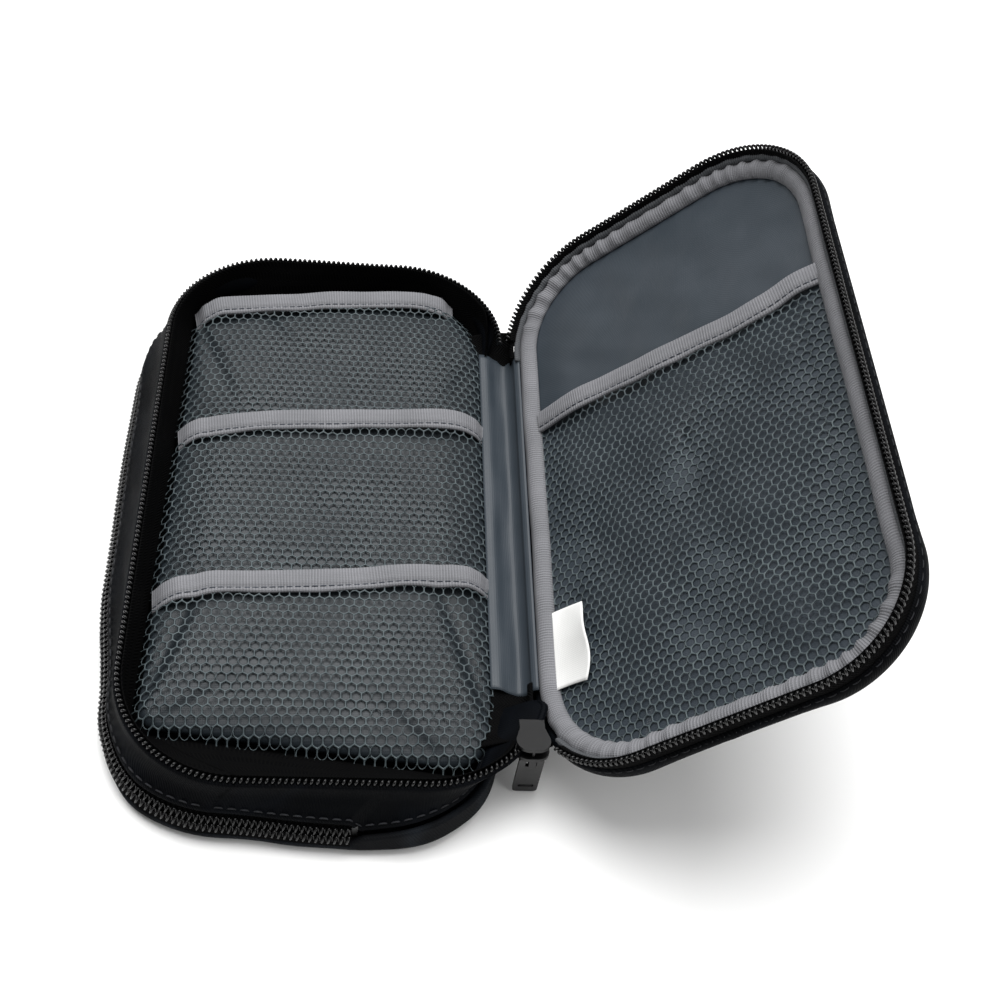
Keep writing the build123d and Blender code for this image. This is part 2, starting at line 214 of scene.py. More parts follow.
def shrink(points, inset):
    """A closed outline moved inward; inset is one number, or one for each point."""
    return points + inward(points) * np.reshape(inset, (-1, 1))


def spaced(points, step, closed=False):
    """Points every step along a line, with unit directions and distances."""
    if closed:
        points = np.concatenate([points, points[:1]])
    length = distances(points)
    count = max(3, int(round(length[-1] / step)))
    at = np.arange(count) * length[-1] / count if closed else np.linspace(0, length[-1], count + 1)
    line = between_points(at, length, points)
    ahead = np.roll(line, -2, 0) - np.roll(line, 2, 0) if closed else np.gradient(line, axis=0)
    return line, unit(ahead), at


def cut_open(points, x_side, y_low, y_high):
    """The outline as a line that leaves out its side beyond x_side between y_low and y_high."""
    right = x_side > 0
    beyond = points[:, 0] > x_side if right else points[:, 0] < -x_side
    gone = beyond & (points[:, 1] > y_low) & (points[:, 1] < y_high)
    first = np.flatnonzero(gone & ~np.roll(gone, -1))[0] + 1
    return np.roll(points, -first, 0)[: int((~gone).sum())]


def depth_inside(x, y, outline):
    """How far inside a closed convex outline each point is."""
    normal = inward(outline)
    flat = np.stack([np.ravel(x), np.ravel(y)], 1).astype(float)
    found = np.empty(len(flat))
    for start in range(0, len(flat), 4000):
        part = flat[start:start + 4000]
        gap = ((part[:, None] - outline[None]) ** 2).sum(-1)
        near = gap.argmin(1)
        found[start:start + 4000] = ((part - outline[near]) * normal[near]).sum(1)
    return found.reshape(np.shape(x))


RIM = loop(box_corners(coil_low[0], *RIM_SLANT, coil_low[1], coil_high[1]), (RIM_RADIUS,) * 4)
BULGE = loop(box_corners(side_low[0], BULGE_RIGHT, BULGE_RIGHT, side_low[1], side_high[1]), BULGE_RADII)
TRAY = loop(TRAY_CORNERS, TRAY_RADII)
LID = loop(LID_CORNERS, LID_RADII)


def lid_place(points):
    """From the lid's own frame to the row frame."""
    u, v, w = np.moveaxis(np.asarray(points, float), -1, 0)
    c, s = math.cos(LID_ANGLE), math.sin(LID_ANGLE)
    return np.stack([LID_EDGE[0] + u * c - w * s, v, LID_EDGE[1] + u * s + w * c], -1)


# ---- meshes ------------------------------------------------------------------------------
def make(name, points, faces, material, uvs=None):
    """A mesh object from points in millimetres."""
    mesh = bpy.data.meshes.new(name)
    mesh.from_pydata((np.asarray(points, float) * MM).tolist(), [], faces)
    if uvs is not None:
        layer = mesh.uv_layers.new(name="run")
        index = np.zeros(len(mesh.loops), int)
        mesh.loops.foreach_get("vertex_index", index)
        layer.data.foreach_set("uv", (np.asarray(uvs, float)[index] * MM).astype(np.float32).ravel())
    mesh.polygons.foreach_set("use_smooth", [True] * len(mesh.polygons))
    mesh.materials.append(material)
    mesh.update()
    made = bpy.data.objects.new(name, mesh)
    bpy.context.scene.collection.objects.link(made)
    return made


def grid_faces(rows, columns, closed, start=0, flip=False):
    """Quads over a grid of points; a closed grid also joins its last column to its first."""
    r, c = np.meshgrid(np.arange(rows - 1), np.arange(columns if closed else columns - 1), indexing="ij")
    r, c = r.ravel(), c.ravel()
    d = (c + 1) % columns
    quads = np.stack([r * columns + c, r * columns + d, (r + 1) * columns + d, (r + 1) * columns + c], 1)
    if flip:
        quads = quads[:, ::-1]
    return (quads + start).tolist()


def grid_normals(grid, closed):
    """A unit normal at each point of a grid."""
    if closed:
        along = np.roll(grid, -1, 1) - np.roll(grid, 1, 1)
    else:
        along = np.gradient(grid, axis=1)
    across = np.gradient(grid, axis=0)
    normal = np.cross(along, across)
    return normal / np.maximum(np.linalg.norm(normal, axis=2), 1e-9)[..., None]


def grid_uvs(grid):
    """Distance along the run and across it."""
    middle = grid[len(grid) // 2]
    run = distances(middle)
    width = np.concatenate([[0], np.cumsum(np.linalg.norm(np.diff(grid, axis=0), axis=2).mean(1))])
    return np.stack(np.broadcast_arrays(run[None, :], width[:, None]), -1).reshape(-1, 2)


def cloth(name, rows, material, thickness, closed=False):
    """A sheet with a real thickness over a grid of points; its far side lies along minus the normal."""
    grid = np.asarray(rows, float)
    r, c = grid.shape[:2]
    far = grid - grid_normals(grid, closed) * thickness
    faces = grid_faces(r, c, closed) + grid_faces(r, c, closed, r * c, True)
    count = r * c
    turns = range(c if closed else c - 1)
    for i in turns:
        j = (i + 1) % c
        faces.append([j, i, i + count, j + count])
        top = (r - 1) * c
        faces.append([top + i, top + j, top + j + count, top + i + count])
    if not closed:
        for k in range(r - 1):
            a, b = k * c, (k + 1) * c
            faces.append([a, b, b + count, a + count])
            a, b = a + c - 1, b + c - 1
            faces.append([b, a, a + count, b + count])
    uvs = grid_uvs(grid)
    return make(name, np.concatenate([grid.reshape(-1, 3), far.reshape(-1, 3)]), faces, material,
                np.concatenate([uvs, uvs]))


def roll(name, rows, material, closed=False, run=None):
    """A closed section swept along a run: rows go round the section, and columns along it."""
    grid = np.asarray(rows, float)
    r, c = grid.shape[:2]
    ring = np.concatenate([grid, grid[:1]])
    faces = []
    for quad in grid_faces(r + 1, c, closed):
        faces.append([v % (r * c) for v in quad])
    if not closed:
        faces.append([k * c for k in range(r)])
        faces.append([k * c + c - 1 for k in range(r)][::-1])
    uvs = grid_uvs(ring)[: r * c]
    if run is not None:
        uvs[:, 0] = np.tile(run, r)
    return make(name, grid.reshape(-1, 3), faces, material, uvs)


def tube_points(path, radius, sides, reference):
    """Rows of points round a tube along a path."""
    ahead = unit(np.gradient(path, axis=0))
    first = unit(np.cross(ahead, reference))
    second = np.cross(ahead, first)
    angle = np.arange(sides) * TAU / sides
    return np.stack([path + radius * (first * math.cos(a) + second * math.sin(a)) for a in angle])


def coil(name, line, up, out, tall, wire=COIL_WIRE, phase=0.0):
    """A zip's spiral coil along a line: its loops stand tall along up and COIL_DEEP deep along out."""
    steps, squareness = 14, 2.6
    length = distances(line)
    at = np.linspace(0, length[-1], int(length[-1] / COIL_PITCH * steps))
    middle, up, out = [between_points(at, length, values) for values in (line, up, out)]
    angle = at / COIL_PITCH * TAU + phase
    c, s = np.cos(angle), np.sin(angle)
    reach = 1 / (np.abs(c) ** squareness + np.abs(s) ** squareness) ** (1 / squareness)
    half_tall, half_deep = tall / 2 - wire, COIL_DEEP / 2 - wire * 0.8
    path = middle + up * (s * reach * half_tall)[:, None] + out * (c * reach * half_deep)[:, None]
    return roll(name, tube_points(path, wire, 6, unit(np.gradient(middle, axis=0))), COIL)


def stitches(name, line, up, material, length=2.4, gap=1.1, radius=0.2, lift=0.12):
    """A row of sewn stitches: short rounded bars that lie on a surface and dip in at their ends."""
    points, _, at = spaced(line, 0.25)
    places = np.array([0.0, 0.16, 0.5, 0.84, 1.0]) * length
    rise = np.array([-0.25, lift, lift + 0.06, lift, -0.25])[:, None]
    size = np.array([0.45, 1, 1.05, 1, 0.45])[:, None] * radius
    verts, faces = [], []
    for k in range(int(at[-1] / (length + gap))):
        middle = between_points(places + k * (length + gap), at, points)
        across = unit(np.cross(unit(np.gradient(middle, axis=0)), up))
        base = len(verts)
        for a in range(6):
            turn = a * TAU / 6
            ring = middle + up * rise + size * (across * math.cos(turn) + up * 0.7 * math.sin(turn))
            verts.extend(ring.tolist())
            this, other = base + a * 5, base + (a + 1) % 6 * 5
            for j in range(4):
                faces.append([this + j, this + j + 1, other + j + 1, other + j])
        faces.append([base + a * 5 for a in range(6)][::-1])
        faces.append([base + a * 5 + 4 for a in range(6)])
    return make(name, np.array(verts), faces, material)


def net(name, inside, surface, area):
    """A knitted net of rounded hexagons over a surface: inside(x, y) picks its holes.

    Each hole has twelve points: the corners of its hexagon and the middles of the sides between.
    The hexagons share their outer points, and the strands lie between those and the holes' own.
    """
    row = NET_PITCH * math.sqrt(3) / 2
    x_low, x_high, y_low, y_high = area
    angle = np.radians(90 + 30 * np.arange(12))
    around = np.stack([np.cos(angle), np.sin(angle)], -1)
    at_corner = np.arange(12) % 2 == 0
    hole = (NET_PITCH - STRAND) / 2
    far = np.where(at_corner, NET_PITCH / math.sqrt(3), NET_PITCH / 2)
    near = hole * np.where(at_corner, 1.07, 1.0)
    centres = []
    for j in range(int(y_low / row) - 1, int(y_high / row) + 2):
        for i in range(int(x_low / NET_PITCH) - 1, int(x_high / NET_PITCH) + 2):
            centres.append(((i + 0.5 * (j % 2)) * NET_PITCH, j * row))
    centres = np.array(centres)
    centres = centres[inside(centres[:, 0], centres[:, 1])]
    outer = (centres[:, None] + far[:, None] * around).reshape(-1, 2)
    inner = (centres[:, None] + near[:, None] * around).reshape(-1, 2)
    keys, owner = np.unique(np.round(outer * 50).astype(int), axis=0, return_inverse=True)
    owner = owner.reshape(-1, 12)
    shared = np.zeros((len(keys), 2))
    shared[owner.ravel()] = outer
    used = np.bincount(owner.ravel(), minlength=len(keys))

    # along the net's edge the corners are drawn in, so that its hem is rounded
    for a in range(0, 12, 2):
        alone = used[owner[:, a]] == 1
        shared[owner[alone, a]] = centres[alone] + (hole + 0.6 * STRAND) * around[a]
    about = np.zeros_like(shared)
    np.add.at(about, owner.ravel(), np.repeat(centres, 12, 0))
    about /= used[:, None]
    is_corner = np.zeros(len(keys), bool)
    is_corner[owner[:, ::2].ravel()] = True
    notch = is_corner & (used == 2)
    shared[notch] = about[notch] + 0.55 * (shared[notch] - about[notch])

    spots, lift = surface(shared[:, 0], shared[:, 1])
    hole_spots, _ = surface(inner[:, 0], inner[:, 1])
    points = np.concatenate([spots + lift * STRAND_HALF_DEPTH, spots - lift * STRAND_HALF_DEPTH, hole_spots])
    count, first = len(shared), 2 * len(shared)
    faces, edges = [], set()
    for k in range(len(centres)):
        for a in range(12):
            b = (a + 1) % 12
            p, q = int(owner[k, a]), int(owner[k, b])
            i, j = first + k * 12 + a, first + k * 12 + b
            faces.append([p, q, j, i])
            faces.append([q + count, p + count, i, j])
            edges.add((p, q))
    for p, q in sorted(edges):
        if (q, p) not in edges:
            faces.append([q, p, p + count, q + count])
    flat = np.concatenate([shared, shared, inner])
    return make(name, points, faces, NET, flat), len(centres) * NET_PITCH * row


# ---- materials ---------------------------------------------------------------------------
def linear(*srgb):
    """Linear colour from an sRGB one in 0..255."""
    c = np.array(srgb, float) / 255
    return [float(x) for x in np.where(c <= 0.04045, c / 12.92, ((c + 0.055) / 1.055) ** 2.4)] + [1.0]


class Finish:
    """A material built from nodes; constants go straight onto the shader."""

    def __init__(self, name, **constants):
        self.material = bpy.data.materials.new(name)
        self.material.use_nodes = True
        self.tree = self.material.node_tree
        self.shader = next(n for n in self.tree.nodes if n.type == "BSDF_PRINCIPLED")
        for key, value in constants.items():
            self.shader.inputs[key.replace("_", " ")].default_value = value
        self.spot = self.tree.nodes.new("ShaderNodeTexCoord")

    def put(self, socket, value):
        """Links another node's output to a socket, or sets a constant on it."""
        if isinstance(value, bpy.types.NodeSocket):
            self.tree.links.new(value, socket)
        else:
            socket.default_value = value

    def math(self, operation, a, b=0.0, c=0.0):
        """The output of a math node."""
        made = self.tree.nodes.new("ShaderNodeMath")
        made.operation = operation
        for socket, value in zip(made.inputs, (a, b, c)):
            self.put(socket, value)
        return made.outputs[0]

    def noise(self, scale, detail=2.0, stretch=None):
        """Noise over the piece's own coordinates, which may be stretched."""
        made = self.tree.nodes.new("ShaderNodeTexNoise")
        made.inputs["Scale"].default_value = scale
        made.inputs["Detail"].default_value = detail
        source = self.spot.outputs["Object"]
        if stretch:
            mapping = self.tree.nodes.new("ShaderNodeMapping")
            mapping.inputs["Scale"].default_value = stretch
            self.tree.links.new(source, mapping.inputs["Vector"])
            source = mapping.outputs["Vector"]
        self.tree.links.new(source, made.inputs["Vector"])
        return made.outputs["Fac"]

    def uv(self):
        """Metres along the cloth's run, and across it."""
        parts = self.tree.nodes.new("ShaderNodeSeparateXYZ")
        self.tree.links.new(self.spot.outputs["UV"], parts.inputs[0])
        return parts.outputs[0], parts.outputs[1]

    def ramp(self, factor, *stops):
        """A colour ramp through (place, colour) stops."""
        made = self.tree.nodes.new("ShaderNodeValToRGB")
        bar = made.color_ramp.elements
        while len(bar) < len(stops):
            bar.new(0.5)
        for element, (place, colour) in zip(bar, stops):
            element.position = place
            element.color = colour
        self.put(made.inputs[0], factor)
        return made.outputs[0]

    def rough(self, factor, low, high):
        """Roughness that varies from low to high."""
        made = self.tree.nodes.new("ShaderNodeMapRange")
        made.inputs["To Min"].default_value = low
        made.inputs["To Max"].default_value = high
        self.put(made.inputs["Value"], factor)
        self.tree.links.new(made.outputs[0], self.shader.inputs["Roughness"])

    def colour(self, socket):
        """Sets the base colour."""
        self.tree.links.new(socket, self.shader.inputs["Base Color"])

    def relief(self, *layers):
        """Bumps, each (height socket, depth in metres, strength)."""
        normal = None
        for height, depth, strength in layers:
            made = self.tree.nodes.new("ShaderNodeBump")
            made.inputs["Distance"].default_value = depth
            made.inputs["Strength"].default_value = strength
            self.tree.links.new(height, made.inputs["Height"])
            if normal is not None:
                self.tree.links.new(normal, made.inputs["Normal"])
            normal = made.outputs[0]
        self.tree.links.new(normal, self.shader.inputs["Normal"])


def wave(finish, value, pitch):
    """0 to 1 and back, every pitch metres."""
    turned = finish.math("SINE", finish.math("MULTIPLY", value, TAU / pitch))
    return finish.math("MULTIPLY_ADD", turned, 0.5, 0.5)


def outer_fabric(name, low, high):
    """Coated twill with a faint camouflage pattern, between a low and a high colour."""
    f = Finish(name, Specular_IOR_Level=0.04)
    blotch = f.noise(34.0, 3.0)
    f.colour(f.ramp(blotch, (0.42, low), (0.5, high), (0.62, low)))
    u, v = f.uv()
    twill = wave(f, f.math("ADD", u, v), 0.00085)
    f.rough(f.noise(120.0), 0.52, 0.7)
    f.relief((f.noise(60.0, 3.0), 0.0009, 0.35), (twill, 0.00012, 0.6))
    return f.material


def nylon(name, low, high, rough=(0.42, 0.56)):
    """Thin woven lining with soft creases."""
    f = Finish(name, Specular_IOR_Level=0.35)
    f.colour(f.ramp(f.noise(45.0, 2.0), (0.3, low), (0.7, high)))
    u, v = f.uv()
    threads = f.math("MULTIPLY", wave(f, u, 0.00062), wave(f, v, 0.00062))
    f.rough(f.noise(90.0), *rough)
    f.relief((f.noise(38.0, 4.0, (1.0, 0.45, 1.0)), 0.0016, 0.5), (threads, 0.00006, 0.5))
    return f.material


def grosgrain(name, low, high):
    """Ribbed ribbon: the ribs are in its shape, and this adds its threads, its slight soiling and painted
    shade that darkens each rib's groove.
    """
    f = Finish(name, Specular_IOR_Level=0.3)
    u, v = f.uv()
    threads = f.math("MULTIPLY", wave(f, u, 0.00043), wave(f, v, 0.00055))
    # painted shade: the colour follows the ribs, lighter on each crest and darker in each groove
    ribs = wave(f, u, RIB_PITCH * MM)
    soil = f.math("MULTIPLY_ADD", f.noise(70.0, 2.0), 0.55, f.math("MULTIPLY", threads, 0.1))
    mix = f.math("MULTIPLY_ADD", ribs, 0.4, soil)
    f.colour(f.ramp(mix, (0.25, low), (0.75, high)))
    f.rough(f.noise(200.0), 0.6, 0.8)
    f.relief((f.noise(260.0, 2.0), 0.0004, 0.3), (threads, 0.00012, 0.7))
    return f.material


def herringbone(name, low, high):
    """Zip tape: chevrons of diagonal ribs that change direction every few millimetres across."""
    f = Finish(name, Specular_IOR_Level=0.05)
    u, v = f.uv()
    zigzag = f.math("PINGPONG", v, 0.0024)
    ribs = wave(f, f.math("ADD", u, zigzag), 0.00105)
    f.colour(f.ramp(f.math("MULTIPLY_ADD", ribs, 0.6, f.math("MULTIPLY", f.noise(80.0, 3.0), 0.5)),
                    (0.2, low), (0.85, high)))
    f.rough(f.noise(150.0), 0.68, 0.85)
    f.relief((ribs, 0.00022, 0.9), (f.noise(70.0, 2.0), 0.0006, 0.25))
    return f.material


def plastic(name, low, high, rough, scale=400.0):
    """A smooth or lightly grained solid colour; scale sets how fine its grain is."""
    f = Finish(name, Specular_IOR_Level=0.35)
    f.colour(f.ramp(f.noise(scale, 2.0), (0.3, low), (0.7, high)))
    f.rough(f.noise(scale * 0.7, 2.0), *rough)
    f.relief((f.noise(scale * 2, 2.0), 0.0001, 0.15))
    return f.material


def knit(name, low, high):
    """The net's soft, slightly shiny thread."""
    f = Finish(name, Specular_IOR_Level=0.4)
    f.colour(f.ramp(f.noise(60.0, 2.0), (0.3, low), (0.72, high)))
    f.rough(f.noise(300.0), 0.45, 0.62)
    f.relief((f.noise(2400.0, 1.0), 0.0001, 0.5))
    return f.material


OUTER = outer_fabric("outer_cloth", linear(3, 4, 6), linear(6, 8, 12))
# the lower panel's copy of the outer twill is painted lighter: painted light for the sheen along the body's
# lower side
OUTER_LOW_PAINTED_LIGHT = outer_fabric("outer_cloth_low_painted_light", linear(14, 15, 17), linear(24, 27, 31))
LINING = nylon("lining_nylon", linear(40, 48, 55), linear(48, 55, 62))
# the pad's lining is the lid's nylon painted darker: painted shade for the shadowed holes under the pocket
# nets
PAD_LINING_PAINTED_SHADE = nylon("pad_nylon_painted_shade", linear(27, 34, 39), linear(34, 40, 45))
GREY = grosgrain("binding_grey", linear(100, 101, 104), linear(124, 124, 128))
# the binding's grosgrain painted darker: painted shade for the inner band, which lies in shadow inside the
# lid
GREY_PAINTED_SHADE = grosgrain("binding_painted_shade", linear(60, 62, 65), linear(78, 80, 83))
TAPE = herringbone("zip_tape", linear(1, 1, 2), linear(5, 5, 5))
COIL = plastic("coil_nylon", linear(3, 3, 4), linear(8, 8, 9), (0.16, 0.28))
METAL = plastic("black_enamel", linear(4, 4, 5), linear(9, 9, 10), (0.34, 0.46), 260.0)
NET = knit("net_knit", linear(60, 69, 73), linear(76, 86, 89))
THREAD = plastic("dark_thread", linear(34, 40, 50), linear(50, 56, 66), (0.6, 0.8), 900.0)
THREAD_BLACK = plastic("black_thread", linear(10, 11, 14), linear(24, 26, 32), (0.6, 0.8), 900.0)
LABEL = nylon("label_satin", linear(222, 222, 220), linear(238, 238, 236), (0.5, 0.62))


# ---- helpers for the pieces --------------------------------------------------------------
def solid_run(points, heights):
    """A closed outline or a line at given heights, as points in space."""
    height = np.broadcast_to(np.asarray(heights, float), (len(points),))
    return np.concatenate([points, height[:, None]], 1)


def spine_share(points, falling=(-86.0, -68.0), rising=(64.0, 80.0)):
    """1 round the case, and 0 along its right side, where the spine leaves it."""
    x, y = points[:, 0], points[:, 1]
    return 1 - smooth(25, 38, x) * smooth(falling[0], falling[1], y) * (1 - smooth(rising[0], rising[1], y))


def puff(made, pinned, cap, pressure=4.0, frames=20):
    """Swells a closed cloth form with a short simulation, and keeps its result as the mesh."""
    group = made.vertex_groups.new(name="held")
    group.add([int(i) for i in pinned], 1.0, "REPLACE")
    before = np.array([v.co for v in made.data.vertices])
    simulated = made.modifiers.new("swell", "CLOTH")
    settings = simulated.settings
    settings.quality = 6
    settings.vertex_group_mass = "held"
    settings.use_pressure = True
    settings.uniform_pressure_force = pressure
    settings.effector_weights.gravity = 0.0
    settings.tension_stiffness = 30
    settings.compression_stiffness = 30
    settings.bending_stiffness = 2.0
    simulated.point_cache.frame_start = 1
    simulated.point_cache.frame_end = frames
    for number in range(1, frames + 1):
        bpy.context.scene.frame_set(number)
    shown = made.evaluated_get(bpy.context.evaluated_depsgraph_get())
    after = np.array([v.co for v in shown.data.vertices])
    made.modifiers.remove(simulated)
    bpy.context.scene.frame_set(1)
    move = after - before
    far = np.linalg.norm(move, axis=1)
    move *= np.minimum(1, cap * MM / np.maximum(far, 1e-9))[:, None]
    made.data.vertices.foreach_set("co", (before + move).astype(np.float32).ravel())
    made.data.update()


def dome(name, rings, material):
    """A closed form through rings of points, capped at its first and last ring."""
    grid = np.asarray(rings, float)
    r, c = grid.shape[:2]
    faces = grid_faces(r, c, True)
    for first in (0, (r - 1) * c):
        for i in range(c // 2 - 1):
            quad = [first + i, first + i + 1, first + c - 2 - i, first + c - 1 - i]
            faces.append(quad if first else quad[::-1])
    points = grid.reshape(-1, 3)
    return make(name, points, faces, material, points[:, :2])


def toward(points, share):
    """An outline scaled about its middle."""
    middle = points.mean(0)
    return middle + (points - middle) * share


def finish_piece(made, body, slot_name, *stands_for):
    """A piece rides one body and may stand for CAD nodes, which it hides; slot_name is not used."""
    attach(made, body)
    if stands_for:
        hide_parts(*stands_for)
    return made


def soften(made):
    """One level of smoothing."""
    modifier = made.modifiers.new("smooth", "SUBSURF")
    modifier.levels = 1
    modifier.render_levels = 1


# ---- base: lower panel, back zip and gusset ----------------------------------------------
leftward = smooth(10, -48, BULGE[:, 0])
swell = np.exp(-((BULGE[:, 1] - 5) / 50) ** 2) * leftward * 1.2 + 2.4 * smooth(-80, -104, BULGE[:, 1])
drawn_in = leftward * (3.6 * smooth(-30, -72, BULGE[:, 1]) + 6.5 * smooth(50, 88, BULGE[:, 1]))
BODY = shrink(BULGE, drawn_in - swell + 0.35 * ripple(BULGE[:, 0], BULGE[:, 1], 3, 70))
across, along = BODY[:, 0], BODY[:, 1]

# the panel's upper edge rises past the chain's ends, where the gusset is sewn straight to it
beyond_zip = smooth(CHAIN_END - 1, 32, across)
low_edge = BACK_ZIP_Z - 2.9 + 4.6 * beyond_zip + 2.0 * smooth(CHAIN_END - 1, CHAIN_END + 4, across)
low_edge = low_edge + 0.25 * ripple(across, along, 5, 40)
zip_gap = 5.9 - 5.5 * smooth(CHAIN_END - 1, CHAIN_END + 3, across)
body_share = spine_share(BODY)
high_edge = low_edge + zip_gap - 3.6 * (1 - body_share)
ridge_inset = 0.3 + 2.5 * body_share * (1 - 0.85 * smooth(30, 75, along))
wobble = 0.3 * ripple(across * 1.3, along * 1.3, 8, 33)


def lower_panel():
    """The rest face, its rounded edge, and the side up to the back zip with a turned hem."""
    flat = shrink(BODY, REST_INSET)
    rows = []
    for part, height in ((0.002, 0.5), (0.3, 0.5), (0.6, 0.42), (0.85, 0.2)):
        inner = toward(flat, part)
        rows.append(solid_run(inner, height + 0.15 * ripple(inner[:, 0], inner[:, 1], 2, 60)))
    profile = ((REST_INSET, 0.02, 0), (6.0, 0.05, 0), (3.6, 0.25, 0.3), (1.6, 0.7, 0.6), (0.2, 1.4, 0.9),
               (-0.5, 2.2, 1), (-0.6, 3.0, 1), (-0.3, 3.7, 1))
    for inset, height, loose in profile:
        rows.append(solid_run(shrink(BODY, inset + wobble * loose), height * (1 + 0.35 * beyond_zip)))
    for inset, drop in ((0.1, 0.7), (0.35, 0.2), (0.9, 0.0), (1.9, 0.15)):
        rows.append(solid_run(shrink(BODY, inset + wobble * 0.6), low_edge - drop))
    # the panel's lighter twill colour is painted light
    return cloth("lower_panel", rows, OUTER_LOW_PAINTED_LIGHT, 0.8, closed=True)


def side_gusset():
    """The gusset: a piped ridge above the back zip, a hollow wall, and its hem at the main zip."""
    rows = []
    ridge = ((1.9, -0.3), (0.9, -0.1), (0.1, 0.2), (-0.35, 0.75), (-0.4, 1.3), (-0.05, 1.85), (0.35, 2.2))
    for inset, rise in ridge:
        rows.append(solid_run(shrink(BODY, ridge_inset + inset + wobble * 0.4), high_edge + rise))
    wall_foot = high_edge + 2.2
    for t in np.linspace(0.12, 1, 9):
        line = mixed(shrink(BODY, ridge_inset + 0.35), shrink(RIM, -0.75), t * body_share)
        hollow = (0.9 + 0.35 * ripple(across, along + 40 * t, 6, 45)) * np.sin(math.pi * t)
        rows.append(solid_run(shrink(line, hollow), wall_foot + (RIM_CLOTH_Z - wall_foot) * t * body_share))
    for inset, rise in ((-0.35, 0.35), (0.5, 0.4), (1.3, 0.0)):
        line = mixed(shrink(BODY, ridge_inset), shrink(RIM, inset), body_share)
        rows.append(solid_run(line, wall_foot + (RIM_CLOTH_Z + rise - wall_foot) * body_share))
    return cloth("side_gusset_cloth", rows, OUTER, 0.7, closed=True)


finish_piece(lower_panel(), "base", "outer_fabric", "back_panel")
finish_piece(side_gusset(), "base", "outer_fabric", "side_gusset")

stitch_line = solid_run(shrink(BODY, ridge_inset + 0.3), high_edge + 2.6)
stitch_line = np.concatenate([stitch_line, stitch_line[:1]])
finish_piece(stitches("gusset_topstitch", stitch_line, np.array([0, 0, 1.0]), THREAD_BLACK, radius=0.24,
                      lift=0.1), "base", "outer_fabric")


def back_zip_path():
    """The body's outline as a line from the chain's front end, round the left side, to its rear end."""
    keep = np.flatnonzero(BODY[:, 0] < CHAIN_END - 0.2)
    breaks = np.flatnonzero(np.diff(keep) > 1)
    first = keep[breaks[0] + 1] if len(breaks) else keep[0]
    return np.roll(BODY, -first, 0)[: len(keep)]


# the back pocket's zip: two tapes behind a closed chain, round the front, left and back
chain_points, chain_ahead, _ = spaced(back_zip_path(), COIL_STEP)
chain_in = left_of(chain_ahead)
upright = 1 / math.hypot(1, CHAIN_LEAN)
flat_up = np.full((len(chain_in), 1), upright)
up_axis = np.concatenate([chain_in * CHAIN_LEAN * upright, flat_up], 1)
out_axis = np.concatenate([-chain_in * upright, flat_up * CHAIN_LEAN], 1)
for half, side, phase in (("lower", -1, 0.0), ("upper", 1, math.pi)):
    middle = chain_points + chain_in * (1.0 + CHAIN_LEAN * side * 1.2)
    chain = coil("back_coil_" + half, solid_run(middle, CHAIN_Z + side * 1.15), up_axis, out_axis,
                 BACK_COIL_TALL, BACK_WIRE, phase)
    finish_piece(chain, "base", "coil", "back_zip_coil_" + half)
    rows = []
    for step in np.linspace(0, 1, 5):
        rise = side * (0.3 + 3.6 * step)
        rows.append(solid_run(chain_points + chain_in * (2.1 + CHAIN_LEAN * rise), CHAIN_Z + rise))
    tape = cloth("back_tape_" + half, rows[::-side], TAPE, 0.4)
    finish_piece(tape, "base", "zip_tape", "back_zip_tape_" + half)


# ---- base: the slanting tape inside the rim, and the main coil ---------------------------
def inner_tape():
    """The tape from the main coil's stitching down to the pad's edge; its top dips along the spine."""
    share = spine_share(RIM, (-92.0, -72.0), (64.0, 82.0))
    rows = []
    for inset, height in ((1.55, 23.2), (1.75, 23.45), (2.0, 22.9)):
        line = mixed(TRAY, shrink(RIM, inset), share)
        rows.append(solid_run(line, TAPE_LOW_Z + (height - TAPE_LOW_Z) * share))
    top = mixed(TRAY, shrink(RIM, 2.1), share)
    top_z = TAPE_LOW_Z + (TAPE_TOP_Z - TAPE_LOW_Z) * share
    foot = shrink(TRAY, -0.3)
    for t in np.linspace(0.12, 1, 10):
        sag = 0.5 * math.sin(math.pi * t) * (1 + 0.8 * ripple(RIM[:, 0], RIM[:, 1], 4, 36))
        rows.append(solid_run(shrink(top * (1 - t) + foot * t, -sag), top_z * (1 - t) + TAPE_FOOT_Z * t))
    return cloth("inner_tape", rows, TAPE, 0.45, closed=True)


finish_piece(inner_tape(), "base", "zip_tape", "main_zip_tape_base")

rim_points, rim_ahead, _ = spaced(cut_open(RIM, 30, *OPEN_BASE), COIL_STEP)
rim_in = left_of(rim_ahead)
ones, zeros = np.ones((len(rim_in), 1)), np.zeros((len(rim_in), 1))
rim_coil_line = solid_run(rim_points + rim_in * COIL_INSET, RIM_TOP - 1.7)
rim_coil_line[:, 2] += 0.1 * ripple(rim_coil_line[:, 0], rim_coil_line[:, 1], 11, 50)
rim_coil = coil("main_coil_base", rim_coil_line, np.concatenate([-rim_in * 0.15, ones], 1),
                np.concatenate([-rim_in, zeros], 1), COIL_TALL)
finish_piece(rim_coil, "base", "coil", "main_zip_coil_base")

